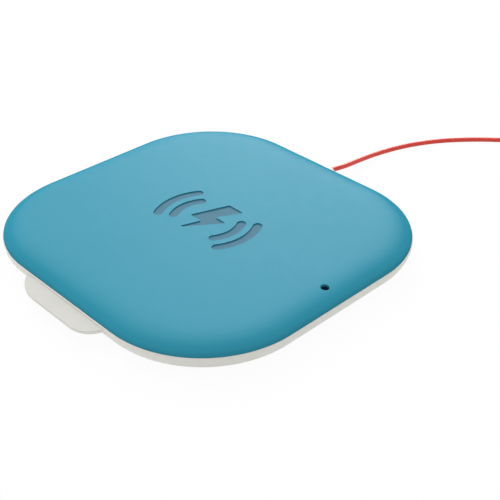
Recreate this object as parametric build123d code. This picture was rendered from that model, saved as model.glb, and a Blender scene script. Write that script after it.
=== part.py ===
from build123d import *
import math
import os

# Wireless charging pad: a flat rounded-square pad with a charging winding inside, and a thin lead
# that plugs in at the back and ends in a power plug.
# Millimetres. +Z is up, -Y is the side with the tab, +Y the side with the lead, +X the side with the
# status light. The origin is on the table, under the middle of the pad.

# Pad outline and outer form
pad_width = 100.0
pad_depth = 97.0
corner_radius = 30.5
grip_stand = 0.7
base_depth = 4.8
base_edge_radius = 4.5
base_edge_turn = 60.0
seam_bevel = 0.25
seam_land = 0.05
cover_step = 0.25
cover_bevel = 0.3
cover_edge_width = 0.35
cover_edge_rise = 0.6
cover_shoulder_radius = 10.0
cover_shoulder_slope = 30.0
cover_crown_width = 10.5
cover_crown_slope = 1.5

# Walls, and the lip of the cover that nests in the base
base_wall = 1.6
base_floor = 1.4
base_inner_bevel = 1.6
cover_wall = 1.5
lip_wall = 1.0
lip_drop = 1.2
fit_gap = 0.15

# Tab that slopes down from the front edge of the base
tab_root_width = 33.0
tab_tip_width = 27.0
tab_reach = 4.65
tab_corner = 9.8
tab_corner_share = 0.97
tab_thickness = 1.0
tab_slope = 17.0
tab_drop = 0.4
tab_edge_bevel = 0.25

# Hooks on the cover's lip that catch in the wall of the base, two on each side
hook_place = 14.0
hook_width = 5.0
hook_height = 0.6
hook_reach = 0.4

# Soft grip under the base
grip_inset = 18.0
grip_corner = 7.0
grip_recess = 0.4
grip_gap = 0.1

# Charging winding, its tape and the ferrite plate under it
coil_turns = 10
coil_sides = 12
coil_inner_radius = 10.6
coil_pitch = 1.16
coil_wire_width = 0.74
coil_wire_height = 1.1
tape_thickness = 0.2
tape_margin = 0.4
ferrite_width = 49.0
ferrite_thickness = 1.5
ferrite_slot_width = 4.0
rib_height = 1.4
rib_length = 12.0
rib_width = 1.6
rib_reach = 16.0
coil_lead_width = 0.7
coil_lead_spacing = 1.8
coil_lead_bend = 0.5
coil_lead_landing = 2.2

# Circuit board
board_thickness = 1.0
board_stand = 0.7
board_inset = 4.2
board_coil_gap = 1.6
board_side_gap = 4.3
board_neck = 4.8
board_left = 26.0
board_front = 9.0
board_edge_gap = 0.6
post_size = 4.0
post_strip_places = [(-21.0, 3.4), (21.5, 4.9)]
post_edge_inset = 3.8
post_edge_y = 20.0

# Parts on the board: size along X, Y and Z, and the places where they sit. A place on the strip along the
# back is x and the distance in from the back edge; one on the arm at the side is the distance out from the
# arm's inner edge, and y.
controller_size = (5.0, 5.0, 0.85)
controller_place = (14.0, 6.4)
transistor_size = (3.0, 3.0, 0.9)
transistor_places = [(-9.6, 2.5), (-9.6, 6.5), (-14.0, 2.5), (-14.0, 6.5)]
resonant_size = (3.2, 2.5, 1.7)
resonant_places = [(5.2, 16.5), (5.2, 12.5), (9.7, 16.5), (9.7, 12.5)]
inductor_size = (4.4, 4.4, 1.8)
inductor_place = (7.7, 5.0)
inductor_corner = 0.6
filter_size = (0.8, 1.6, 0.8)
filter_row_start = (11.5, 1.5)
filter_step = 2.2
filter_count = 6
chip_edge = 0.12

# Status light
light_inset = 5.7
light_y = 0.0
light_hole_radius = 1.1
light_pipe_sides = 8
light_gap = 0.1
light_recess = 0.6
light_flange_width = 4.0
light_flange_height = 0.7
led_size = (0.8, 1.6, 0.6)
led_gap = 0.2

# Socket at the back, and the plug that goes in it
socket_width = 8.94
socket_height = 3.16
socket_length = 7.35
socket_wall = 0.3
socket_stand = 0.02
socket_cutout_gap = 0.25
socket_ear = (1.7, 3.0, 0.3)
tongue_width = 6.69
tongue_thickness = 0.7
tongue_tip_gap = 1.2
tongue_block = 1.1
pocket_depth = 10.0
pocket_gap = 0.35
pocket_rib = 1.0
pocket_floor_gap = 0.2
plug_shell_width = 8.25
plug_shell_height = 2.4
plug_shell_wall = 0.25
plug_shell_hold = 3.0
plug_nose_gap = 0.25
plug_front_gap = 0.3
plug_insert_gap = 0.025
plug_slot_gap = 0.08
plug_width = 11.0
plug_height = 3.2
plug_bevel = 0.7
plug_tail_root = (6.2, 2.7)
plug_tail_end = (5.2, 2.2)
plug_tail_proud = 2.2

# Lead
cord_diameter = 1.5
cord_sides = 4
bend_share = 0.45
wound_half_turns = 6
wound_layers = 2
wound_gap = 0.8
wound_layer_gap = 0.5
wound_ring_diameters = 12.0
wound_centre_x = 47.0
wound_entry_y = 120.3
climb_slope = 1.4
neighbour_reach = 9.0
tie_thickness = 0.6
tie_gap = 0.3
tie_width = 5.0

# Power plug on the far end of the lead
power_x = 68.5
power_entry_y = 97.5
power_relief_length = 8.0
power_relief_root = (7.6, 4.8)
power_relief_end = (3.6, 2.6)
power_width = 15.6
power_height = 7.2
power_length = 21.0
power_bevel = 1.6
power_end_bevel = 0.8
power_shell_width = 12.0
power_shell_height = 4.5
power_shell_wall = 0.3
power_shell_length = 12.4
power_shell_hold = 4.0
power_window = (2.2, 2.4)
power_window_spacing = 5.4
power_window_back = 5.2
power_tongue_height = 1.9
power_tongue_short = 0.6
power_contact = (1.2, 7.5, 0.12)
power_contact_step = 2.2
power_contact_count = 4
seat_gap = 0.02

# How far a cut runs past the face that it opens
cut_past = 1.0

# Section of the cover's edge: a steep lower edge, a round shoulder and a slight slope up to the flat middle
shoulder_start = math.radians(cover_shoulder_slope)
shoulder_end = math.radians(cover_crown_slope)
cover_shoulder_width = cover_shoulder_radius * (math.sin(shoulder_start) - math.sin(shoulder_end))
cover_shoulder_rise = cover_shoulder_radius * (math.cos(shoulder_end) - math.cos(shoulder_start))
cover_crown_rise = cover_crown_width * math.tan(shoulder_end)
cover_roll = cover_step + cover_edge_width + cover_shoulder_width + cover_crown_width

# Round of the base's lower edge, which leaves an upright land under the bevel at the seam
base_edge = min(base_edge_radius, base_depth - seam_bevel - seam_land)

# Heights that follow from the sizes above
floor_z = grip_stand + base_floor
seam_z = grip_stand + base_depth
widest_z = seam_z + cover_bevel
top_z = widest_z + cover_edge_rise + cover_shoulder_rise + cover_crown_rise
ceiling_z = top_z - cover_wall
lip_out = base_wall + fit_gap
lip_in = lip_out + lip_wall
lip_low_z = seam_z - lip_drop
hook_top_z = lip_low_z + hook_height
grip_top_z = grip_stand + grip_recess
board_z = floor_z + board_stand
board_top_z = board_z + board_thickness
ferrite_z = floor_z + rib_height
ferrite_top_z = ferrite_z + ferrite_thickness
coil_z = ferrite_top_z + tape_thickness
plug_z = floor_z + socket_stand + socket_height / 2

# Places along Y at the back
back_y = pad_depth / 2
socket_mouth_y = back_y - pocket_depth
socket_back_y = socket_mouth_y - socket_length
board_back_y = socket_mouth_y - board_edge_gap
board_coil_y = socket_back_y - socket_cutout_gap - board_neck
coil_y = board_coil_y - board_coil_gap - ferrite_width / 2
plug_front_y = socket_mouth_y + plug_front_gap
plug_nose_y = socket_back_y + tongue_block + plug_nose_gap
plug_end_y = back_y + plug_tail_proud

# Places along X at the side
board_edge_x = pad_width / 2 - board_inset
board_arm_x = ferrite_width / 2 + board_side_gap
light_x = pad_width / 2 - light_inset

# Wound part of the lead
cord_radius = cord_diameter / 2
wound_step = cord_diameter + wound_gap
wound_layer_step = cord_diameter + wound_layer_gap
wound_middle_radius = wound_ring_diameters * cord_diameter / 2
wound_outer_radius = wound_middle_radius + wound_step * wound_half_turns / 4
wound_inner_radius = wound_middle_radius - wound_step * wound_half_turns / 4
wound_low_z = tie_thickness + tie_gap + cord_radius
wound_top_z = wound_low_z + wound_layer_step * (wound_layers - 1)
wound_centre_y = wound_entry_y - wound_outer_radius
wound_exit_y = wound_entry_y + wound_step / 2

# Places along Y on the power plug
power_z = power_height / 2
power_back_y = power_entry_y - power_relief_length
power_face_y = power_back_y - power_length
power_tip_y = power_face_y - power_shell_length

# Route of the lead where it lies free, from the plug to the winding and from the winding to the power plug
run_points = [
    (0.0, plug_end_y, plug_z),
    (0.0, 57.0, 3.5),
    (-0.3, 65.5, 2.0),
    (0.2, 75.0, cord_radius),
    (3.0, 86.0, cord_radius),
    (8.8, 97.0, cord_radius),
    (17.8, 107.5, cord_radius),
    (28.5, 116.0, 1.0),
    (wound_centre_x - cord_diameter - 6.0, wound_entry_y, wound_low_z),
    (wound_centre_x - cord_diameter, wound_entry_y, wound_low_z),
]
tail_points = [
    (wound_centre_x + cord_diameter, wound_exit_y, wound_top_z),
    (wound_centre_x + 9.5, wound_exit_y, 3.5),
    (power_x - 4.9, 118.0, 3.0),
    (power_x - 0.9, 111.6, 2.8),
    (power_x + 0.1, 104.4, 3.2),
    (power_x, power_entry_y, power_z),
]

rib_places = [(-rib_reach, coil_y), (rib_reach, coil_y), (0, coil_y - rib_reach), (0, coil_y)]
filter_places = [(filter_row_start[0] + i * filter_step, filter_row_start[1]) for i in range(filter_count)]


# Building blocks shared by several pieces

def outline(inset):
    """Plan of the pad, drawn in by inset all round."""
    return RectangleRounded(pad_width - 2 * inset, pad_depth - 2 * inset, corner_radius - inset)


def plate(inset, low, high):
    """Flat plate with the pad's plan between two heights."""
    return extrude(Pos(0, 0, low) * outline(inset), high - low)


def rim(edges):
    """Ring all round the pad from a section drawn as distance outwards from the outline, and height."""
    path = outline(0).face().outer_wire()
    along = path % 0
    section = Plane(origin=path @ 0, x_dir=along.cross(Vector(0, 0, 1)), z_dir=-along) * make_face(edges)
    return sweep(section, path=path)


def disc(radius, low, high, place=(0, 0)):
    """Upright cylinder between two heights."""
    return extrude(Pos(place[0], place[1], low) * Circle(radius), high - low)


def block(size, place, low):
    """Box standing at a height, centred on a place in plan."""
    return Pos(place[0], place[1], low + size[2] / 2) * Box(*size)


def area(low, high):
    """Flat rectangle between two opposite corners."""
    middle = [(a + b) / 2 for a, b in zip(low, high)]
    return Pos(*middle) * Rectangle(high[0] - low[0], high[1] - low[1])


def span(low, high):
    """Box between two opposite corners."""
    size = [b - a for a, b in zip(low, high)]
    return Pos(*[(a + b) / 2 for a, b in zip(low, high)]) * Box(*size)


def bar(sketch, x, z, start_y, end_y):
    """Prism along Y, from a section whose width lies along X and whose height lies along Z."""
    section = Plane(origin=(x, start_y, z), x_dir=(-1, 0, 0), z_dir=(0, 1, 0)) * sketch
    return extrude(section, end_y - start_y)


def bevelled(width, height, bevel):
    """Rectangle with its corners cut off."""
    plain = Rectangle(width, height)
    return chamfer(plain.vertices(), bevel)


def taper(root, end, x, z, start_y, end_y):
    """Block along Y whose width and height change evenly from a root to an end."""
    return Pos(x, (start_y + end_y) / 2, z) * Wedge(
        root[0], end_y - start_y, root[1],
        (root[0] - end[0]) / 2, (root[1] - end[1]) / 2, (root[0] + end[0]) / 2, (root[1] + end[1]) / 2,
    )


def corner_room(before, corner, after):
    """Radius of the arc at a corner that takes up the whole of the shorter of its two runs."""
    arriving = Vector(*corner) - Vector(*before)
    leaving = Vector(*after) - Vector(*corner)
    half_turn = math.radians(arriving.get_angle(leaving)) / 2
    return min(arriving.length, leaving.length) / math.tan(half_turn)


def tube(path, sketch):
    """Sweeps a section along a path, square to its start."""
    return sweep(Plane(origin=path @ 0, z_dir=path % 0) * sketch, path=path)


def on_strip(places):
    """Places in plan from places on the board's strip along the back."""
    return [(x, board_back_y - inset) for x, inset in places]


def on_arm(places):
    """Places in plan from places on the board's arm at the side."""
    return [(board_arm_x + out, y) for out, y in places]


# Shells of the pad

def side_blocks(near, far, width, low, high):
    """Blocks along the sides, two on each, between two distances in from the outline and two heights."""
    depth = far - near
    middle = (near + far) / 2
    blocks = []
    for side in (-1, 1):
        for place in (-hook_place, hook_place):
            blocks.append(block((depth, width, high - low), (side * (pad_width / 2 - middle), place), low))
            blocks.append(block((width, depth, high - low), (place, side * (pad_depth / 2 - middle)), low))
    return blocks


def top_cover():
    """Shell with a flat middle, an edge that rolls over to the seam, and a hooked lip inside the base."""
    foot = (-cover_step - cover_edge_width, widest_z + cover_edge_rise)
    way = (-math.cos(shoulder_start), math.sin(shoulder_start))
    shoulder = JernArc(foot, way, cover_shoulder_radius, cover_shoulder_slope - cover_crown_slope)
    rest = Polyline(
        shoulder @ 1, (-cover_roll, top_z), (-cover_roll, ceiling_z), (-lip_in, ceiling_z),
        (-lip_in, lip_low_z), (-lip_out, lip_low_z), (-lip_out, seam_z), (-cover_step - cover_bevel, seam_z),
        (-cover_step, widest_z), foot,
    )
    cover = rim(Curve() + [shoulder, rest]) + plate(cover_roll, ceiling_z, top_z)
    cover += side_blocks(lip_out - hook_reach, lip_in, hook_width, lip_low_z, hook_top_z)
    cover -= disc(light_hole_radius, seam_z, top_z + cut_past, (light_x, light_y))
    notch = plug_width / 2 + pocket_gap + pocket_rib + fit_gap
    notch_front = back_y - lip_in - fit_gap
    cover -= span((-notch, notch_front, lip_low_z), (notch, back_y - base_wall, ceiling_z))
    return cover


def tab():
    """Rounded tongue that slopes down from the front edge of the base, its root sunk in the wall."""
    root_y = base_wall / 2
    left_root, left_tip = (-tab_root_width / 2, 0), (-tab_tip_width / 2, -tab_reach)
    right_root, right_tip = (tab_root_width / 2, 0), (tab_tip_width / 2, -tab_reach)
    plan = make_face(Polyline(
        (-tab_root_width / 2, root_y), left_root, left_tip, right_tip, right_root, (tab_root_width / 2, root_y),
        close=True,
    ))
    corner = min(tab_corner, tab_corner_share * corner_room(left_root, left_tip, right_tip))
    plan = fillet(plan.vertices().group_by(Axis.Y)[0], corner)
    tongue = extrude(plan, -tab_thickness)
    root = tongue.faces().sort_by(Axis.Y)[-1]
    tongue = chamfer(tongue.faces().filter_by(Axis.Z).edges() - root.edges(), tab_edge_bevel)
    return Pos(0, -pad_depth / 2, seam_z - tab_drop) * Rot(tab_slope, 0, 0) * tongue


def grip_plan(gap):
    """Plan of the soft grip, a square with its corners cut off, with a gap all round."""
    width = pad_width - 2 * (grip_inset - gap)
    depth = pad_depth - 2 * (grip_inset - gap)
    return bevelled(width, depth, grip_corner)


def base_shell():
    """Tray with a lower edge that rounds under, the tab, the plug's way in, and stands for what is inside."""
    low = grip_stand
    inner = base_wall + base_edge + base_inner_bevel
    wall_foot = (0, low + base_edge)
    round_edge = JernArc(wall_foot, (0, -1), base_edge, -base_edge_turn)
    round_end = round_edge @ 1
    bevel_run = (round_end.Y - low) * math.tan(math.radians(base_edge_turn))
    rest = Polyline(
        round_end, (round_end.X - bevel_run, low), (-inner, low), (-inner, floor_z),
        (-base_wall - base_inner_bevel, floor_z), (-base_wall, floor_z + base_inner_bevel),
        (-base_wall, seam_z), (-seam_bevel, seam_z), (0, seam_z - seam_bevel), wall_foot,
    )
    base = rim(Curve() + [round_edge, rest]) + plate(inner, low, floor_z) + tab()
    base -= extrude(Pos(0, 0, low) * grip_plan(grip_gap), grip_recess)
    for place in rib_places:
        base += block((rib_width, rib_length, rib_height), place, floor_z)
    for place in on_strip(post_strip_places) + [(board_edge_x - post_edge_inset, post_edge_y)]:
        base += block((post_size, post_size, board_stand), place, floor_z)
    catch_width = hook_width + 2 * fit_gap
    catch_low, catch_high = lip_low_z - fit_gap, hook_top_z + fit_gap
    base -= side_blocks(base_wall - hook_reach, lip_out, catch_width, catch_low, catch_high)
    half = plug_width / 2 + pocket_gap
    pocket_low = plug_z - plug_height / 2 - pocket_floor_gap
    for side in (-1, 1):
        near, far = sorted((side * half, side * (half + pocket_rib)))
        base += span((near, socket_mouth_y, floor_z), (far, back_y - base_wall / 2, seam_z))
    base -= span((-half, socket_mouth_y, pocket_low), (half, back_y + cut_past, seam_z))
    return base


def grip_pad():
    """Soft sheet set in the underside."""
    return extrude(grip_plan(0), grip_top_z)


# Charging winding and what carries it

def spiral_points(radius):
    """Corners of a flat many-sided spiral about the winding's middle, from +Y, round by -X to +Y."""
    points = []
    for corner in range(coil_turns * coil_sides + 1):
        turns = corner / coil_sides
        reach = radius + coil_pitch * turns
        angle = 2 * math.pi * turns
        points.append((-reach * math.sin(angle), coil_y + reach * math.cos(angle)))
    return points


def charging_coil():
    """Winding of flat spiral turns, one layer high."""
    inner = spiral_points(coil_inner_radius)
    outer = spiral_points(coil_inner_radius + coil_wire_width)
    face = make_face(Polyline(*inner, *reversed(outer), close=True))
    return extrude(Pos(0, 0, coil_z) * face, coil_wire_height)


def coil_leads():
    """Two short wires from under the ends of the winding, through the ferrite's slot, to the board."""
    run_z = board_top_z + coil_lead_width / 2
    inner_y = coil_y + coil_inner_radius + coil_wire_width / 2
    outer_y = inner_y + coil_turns * coil_pitch
    end_y = board_coil_y + coil_lead_landing
    leads = []
    for x, start_y in ((-coil_lead_spacing / 2, inner_y), (coil_lead_spacing / 2, outer_y)):
        points = [(x, start_y, coil_z), (x, start_y, run_z), (x, end_y, run_z)]
        route = FilletPolyline(*points, radius=coil_lead_bend)
        leads.append(tube(route, Rectangle(coil_lead_width, coil_lead_width)))
    return Compound(leads)


def coil_slot(low, high):
    """Slot towards the board for the leads, from the middle of the winding outwards."""
    half = ferrite_slot_width / 2
    start_y = coil_y + coil_inner_radius - half
    return span((-half, start_y, low), (half, coil_y + ferrite_width / 2 + cut_past, high))


def coil_tape():
    """Ring of double-sided tape between the winding and the ferrite, open at the leads' slot."""
    inner = coil_inner_radius + coil_wire_width + tape_margin
    outer = coil_inner_radius + coil_turns * coil_pitch - tape_margin
    ring = RegularPolygon(outer, coil_sides) - RegularPolygon(inner, coil_sides)
    return extrude(Pos(0, coil_y, ferrite_top_z) * ring, tape_thickness) - coil_slot(ferrite_top_z, coil_z)


def ferrite_shield():
    """Magnetic plate under the winding."""
    plate_size = (ferrite_width, ferrite_width, ferrite_thickness)
    return block(plate_size, (0, coil_y), ferrite_z) - coil_slot(ferrite_z, ferrite_top_z)


# Circuit board and the parts on it

def circuit_board():
    """Board that goes round the winding from the socket at the back to the status light at the side."""
    strip = area((-board_left, board_coil_y), (board_edge_x, board_back_y))
    arm = area((board_arm_x, light_y - board_front), (board_edge_x, board_back_y))
    cutout_half = socket_width / 2 + socket_cutout_gap
    cutout = area((-cutout_half, socket_back_y - socket_cutout_gap), (cutout_half, back_y))
    plan = (strip + arm - cutout) & outline(board_inset)
    return extrude(Pos(0, 0, board_z) * plan, board_thickness)


def board_parts(size, places):
    """Moulded or fired blocks that sit on the board, with their upper edges eased."""
    parts = []
    for place in places:
        part = block(size, place, board_top_z)
        parts.append(chamfer(part.edges().group_by(Axis.Z)[-1], chip_edge))
    return Compound(parts)


def supply_inductor():
    """Shielded choke: a square block with its upright edges cut off."""
    choke = block(inductor_size, on_arm([inductor_place])[0], board_top_z)
    return chamfer(choke.edges().filter_by(Axis.Z), inductor_corner)


def light_pipe():
    """Pin of smoked plastic that brings the light up to its hole in the cover."""
    place = (light_x, light_y)
    foot_z = board_top_z + led_size[2] + led_gap
    section = RegularPolygon(light_hole_radius - light_gap, light_pipe_sides)
    stem = extrude(Pos(*place, foot_z) * section, top_z - light_recess - foot_z)
    flange = (light_flange_width, light_flange_width, light_flange_height)
    return stem + block(flange, place, ceiling_z - light_flange_height)


# Socket and plug

def socket_shell():
    """Metal sleeve of the socket, with an ear at each side that rests on the board."""
    sleeve = bar(SlotOverall(socket_width, socket_height), 0, plug_z, socket_back_y, socket_mouth_y)
    ear_x = socket_width / 2 - socket_wall + socket_ear[0] / 2
    ear_y = board_back_y - socket_ear[1]
    for side in (-1, 1):
        sleeve += block(socket_ear, (side * ear_x, ear_y), board_top_z)
    hollow = SlotOverall(socket_width - 2 * socket_wall, socket_height - 2 * socket_wall)
    return sleeve - bar(hollow, 0, plug_z, socket_back_y, socket_mouth_y)


def socket_tongue():
    """Blade in the middle of the socket, on a block that closes its back."""
    inner_width = socket_width - 2 * (socket_wall + seat_gap)
    inner_height = socket_height - 2 * (socket_wall + seat_gap)
    end = SlotOverall(inner_width, inner_height)
    back = bar(end, 0, plug_z, socket_back_y, socket_back_y + tongue_block)
    blade = Rectangle(tongue_width, tongue_thickness)
    return back + bar(blade, 0, plug_z, socket_back_y, socket_mouth_y - tongue_tip_gap)


def plug_shell():
    """Metal sleeve of the plug, held in the plug's moulding."""
    outer = SlotOverall(plug_shell_width, plug_shell_height)
    inner = SlotOverall(plug_shell_width - 2 * plug_shell_wall, plug_shell_height - 2 * plug_shell_wall)
    return bar(outer - inner, 0, plug_z, plug_nose_y, plug_front_y + plug_shell_hold)


def plug_insert():
    """Contact carrier in the plug's sleeve, with the slot that takes the socket's tongue."""
    inset = 2 * (plug_shell_wall + plug_insert_gap)
    body = SlotOverall(plug_shell_width - inset, plug_shell_height - inset)
    slot = Rectangle(tongue_width + 2 * plug_slot_gap, tongue_thickness + 2 * plug_slot_gap)
    carrier = bar(body, 0, plug_z, plug_nose_y, plug_front_y + plug_shell_hold)
    return carrier - bar(slot, 0, plug_z, plug_nose_y, socket_mouth_y)


def plug_moulding():
    """Flat grip of the plug, sunk in the pocket of the base, with a tail that the cord leaves."""
    shoulder_y = back_y - base_edge
    grip = bar(bevelled(plug_width, plug_height, plug_bevel), 0, plug_z, plug_front_y, shoulder_y)
    tail = taper(plug_tail_root, plug_tail_end, 0, plug_z, shoulder_y, plug_end_y)
    hold = SlotOverall(plug_shell_width, plug_shell_height)
    return grip + tail - bar(hold, 0, plug_z, plug_front_y, plug_front_y + plug_shell_hold)


# Lead

def cord_section():
    """Section of the cord, as a many-sided figure."""
    return RegularPolygon(cord_radius, cord_sides, rotation=180 / cord_sides)


def bend_radii(points):
    """For each corner of a route, the largest bend that its two runs leave room for."""
    return [bend_share * corner_room(*corners) for corners in zip(points, points[1:], points[2:])]


def cord_stretch(name, points):
    """Tube along a free stretch of the cord, of straight runs joined by bends, and its length."""
    radii = bend_radii(points)
    route = FilletPolyline(*points, radius=radii)
    stretch = tube(route, cord_section())
    share = stretch.volume / (cord_section().area * route.length)
    print(f"{name}: length {route.length:.1f}, volume over section times length {share:.4f}")
    print(f"{name}: bend radii {[round(r, 1) for r in radii]}")
    return stretch, route.length


def double_arc(start, start_way, end, end_way):
    """Two arcs that meet smoothly, from a point and heading to another."""
    way = start_way + end_way
    gap = end - start
    square = 2 * (1 - start_way.dot(end_way))
    along = 2 * gap.dot(way)
    reach = (math.sqrt(along**2 + 4 * square * gap.dot(gap)) - along) / (2 * square)
    first_corner = start + start_way * reach
    second_corner = end - end_way * reach
    middle = (first_corner + second_corner) * 0.5
    return [
        Edge.make_tangent_arc(start, start_way, middle),
        Edge.make_tangent_arc(middle, second_corner - first_corner, end),
    ]


def wound_stations():
    """Radius and height at each half turn: in and out by turns, and up a layer at each reversal."""
    stations = []
    for layer in range(wound_layers):
        for half_turn in range(wound_half_turns + 1):
            drawn = wound_step * half_turn / 2
            radius = wound_inner_radius + drawn if layer % 2 else wound_outer_radius - drawn
            stations.append((radius, wound_low_z + layer * wound_layer_step))
    stations.append((wound_outer_radius + wound_step / 2, wound_top_z))
    return stations


def wound_path():
    """Centre line of the wound cord, clockwise from its top, with a straight end at each side."""
    stations = wound_stations()

    def at(x, y, z):
        return Vector(wound_centre_x + x, wound_centre_y + y, z)

    edges = [Edge.make_line(at(-cord_diameter, *stations[0]), at(0, *stations[0]))]
    side = 1
    for (near, low), (far, high) in zip(stations, stations[1:]):
        start, end = at(0, side * near, low), at(0, -side * far, high)
        reach = (near + far) / 2
        middle = at(side * reach, side * (near - far) / 2, (low + high) / 2)
        if high == low:
            edges.append(Edge.make_three_point_arc(start, middle, end))
        else:
            onward = Vector(side, 0, 0)
            climb = Vector(0, -side, climb_slope * (high - low) / (math.pi * reach)).normalized()
            edges += double_arc(start, onward, middle, climb)
            edges += double_arc(middle, climb, end, -onward)
        side = -side
    edges.append(Edge.make_line(at(0, *stations[-1]), at(cord_diameter, *stations[-1])))
    return Wire(edges)


def least_gap(path, spacing, apart):
    """Smallest clear distance between stretches further apart along a wound cord than a set length."""
    count = math.ceil(path.length / spacing)
    points = [tuple(path.position_at(i / count)) for i in range(count + 1)]
    skip = math.ceil(apart / spacing)
    least = min(
        math.dist(points[i], points[j])
        for i in range(len(points))
        for j in range(i + skip, len(points))
    )
    return least - cord_diameter


def cord_coil():
    """Spare length of the lead, wound in layers and kept as one unbroken tube, and its length."""
    path = wound_path()
    gap = least_gap(path, cord_diameter, neighbour_reach)
    print(f"cord_coil: length {path.length:.1f}, least gap {gap:.2f}")
    return tube(path, cord_section()), path.length


def cord_tie():
    """Strap round the wound lead, on the side away from its ends."""
    reach_in = math.sqrt((wound_inner_radius - cord_radius) ** 2 - (tie_width / 2) ** 2) - tie_gap
    reach_out = wound_outer_radius + wound_step / 4 + cord_radius + tie_gap
    low = wound_low_z - cord_radius - tie_gap
    high = wound_top_z + cord_radius + tie_gap
    hole = bevelled(reach_out - reach_in, high - low, cord_radius)
    band = offset(hole, tie_thickness, kind=Kind.INTERSECTION) - hole
    middle_x = wound_centre_x - (reach_in + reach_out) / 2
    start_y = wound_centre_y - tie_width / 2
    return bar(band, middle_x, (low + high) / 2, start_y, start_y + tie_width)


# Power plug

def power_moulding():
    """Grip of the power plug and the tapered relief that the cord enters."""
    section = bevelled(power_width, power_height, power_bevel)
    grip = bar(section, power_x, power_z, power_face_y, power_back_y)
    ends = grip.faces().sort_by(Axis.Y)
    grip = chamfer(ends[0].edges() + ends[-1].edges(), power_end_bevel)
    relief = taper(power_relief_root, power_relief_end, power_x, power_z, power_back_y, power_entry_y)
    hold = Rectangle(power_shell_width, power_shell_height)
    return grip + relief - bar(hold, power_x, power_z, power_face_y, power_face_y + power_shell_hold)


def power_shell():
    """Folded metal sleeve of the power plug, with two windows above and two below."""
    hollow = Rectangle(power_shell_width - 2 * power_shell_wall, power_shell_height - 2 * power_shell_wall)
    wall = Rectangle(power_shell_width, power_shell_height) - hollow
    sleeve = bar(wall, power_x, power_z, power_tip_y, power_face_y + power_shell_hold)
    for side in (-1, 1):
        place = (power_x + side * power_window_spacing / 2, power_tip_y + power_window_back)
        sleeve -= block((*power_window, power_height), place, 0)
    return sleeve


def power_tongue():
    """Insulating blade that carries the contacts, and the block that holds it in the sleeve."""
    inner_width = power_shell_width - 2 * (power_shell_wall + seat_gap)
    inner_height = power_shell_height - 2 * (power_shell_wall + seat_gap)
    blade_z = power_z + (inner_height - power_tongue_height) / 2
    blade = bar(Rectangle(inner_width, power_tongue_height), power_x, blade_z,
                power_tip_y + power_tongue_short, power_face_y)
    holder = bar(Rectangle(inner_width, inner_height), power_x, power_z,
                 power_face_y, power_face_y + power_shell_hold)
    return blade + holder


def power_contacts():
    """Contact strips on the lower face of the blade."""
    blade_low = power_z + power_shell_height / 2 - power_shell_wall - seat_gap - power_tongue_height
    strip_y = power_face_y - power_contact[1] / 2
    strips = []
    for i in range(power_contact_count):
        x = power_x + (i - (power_contact_count - 1) / 2) * power_contact_step
        strips.append(block(power_contact, (x, strip_y), blade_low - power_contact[2]))
    return Compound(strips)


run_tube, run_length = cord_stretch("cord_run", run_points)
tail_tube, tail_length = cord_stretch("cord_tail", tail_points)
coil_tube, coil_length = cord_coil()
print(f"lead length {run_length + coil_length + tail_length:.0f}")

pieces = {
    "top_cover": top_cover(),
    "base_shell": base_shell(),
    "grip_pad": grip_pad(),
    "charging_coil": charging_coil(),
    "coil_leads": coil_leads(),
    "coil_tape": coil_tape(),
    "ferrite_shield": ferrite_shield(),
    "circuit_board": circuit_board(),
    "controller_chip": board_parts(controller_size, on_strip([controller_place])),
    "bridge_transistors": board_parts(transistor_size, on_strip(transistor_places)),
    "resonant_capacitors": board_parts(resonant_size, on_arm(resonant_places)),
    "supply_inductor": supply_inductor(),
    "filter_capacitors": board_parts(filter_size, on_strip(filter_places)),
    "status_led": board_parts(led_size, [(light_x, light_y)]),
    "light_pipe": light_pipe(),
    "socket_shell": socket_shell(),
    "socket_tongue": socket_tongue(),
    "plug_shell": plug_shell(),
    "plug_insert": plug_insert(),
    "plug_moulding": plug_moulding(),
    "cord_run": run_tube,
    "cord_coil": coil_tube,
    "cord_tail": tail_tube,
    "cord_tie": cord_tie(),
    "power_moulding": power_moulding(),
    "power_shell": power_shell(),
    "power_tongue": power_tongue(),
    "power_contacts": power_contacts(),
}

os.makedirs("parts", exist_ok=True)
for name, piece in pieces.items():
    export_step(piece, f"parts/{name}.step")
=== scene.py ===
import math

import bmesh
import bpy
from mathutils import Matrix, Vector


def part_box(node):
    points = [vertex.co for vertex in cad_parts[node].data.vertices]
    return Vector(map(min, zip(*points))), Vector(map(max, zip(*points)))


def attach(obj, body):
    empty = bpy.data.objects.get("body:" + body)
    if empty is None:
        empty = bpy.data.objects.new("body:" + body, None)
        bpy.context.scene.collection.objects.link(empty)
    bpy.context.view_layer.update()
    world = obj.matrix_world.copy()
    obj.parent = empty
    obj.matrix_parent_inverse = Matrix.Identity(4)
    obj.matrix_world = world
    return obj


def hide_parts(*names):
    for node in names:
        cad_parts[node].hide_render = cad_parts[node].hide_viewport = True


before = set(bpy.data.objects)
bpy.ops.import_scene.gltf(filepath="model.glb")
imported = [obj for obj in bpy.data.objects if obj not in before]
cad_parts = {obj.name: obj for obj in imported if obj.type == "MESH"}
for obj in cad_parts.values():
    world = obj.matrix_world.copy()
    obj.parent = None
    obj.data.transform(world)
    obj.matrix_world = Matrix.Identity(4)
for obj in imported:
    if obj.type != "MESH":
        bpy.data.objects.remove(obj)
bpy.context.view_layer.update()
scene = bpy.context.scene
scene.view_settings.view_transform = "Standard"

# Wireless charging pad, dressed in the frame of its solids: +Z up, -Y towards the tab, +Y towards the lead
# and +X towards the status light. Metres, with the sizes written in millimetres, and angles in degrees.
MM = 0.001

# Camera
camera_place = (173.07 * MM, -150.24 * MM, 151.75 * MM)
camera_pitch = 33.963
camera_azimuth = 46.067
camera_lens = 69.911
camera_sensor = 36.0
camera_near = 10 * MM

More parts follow.
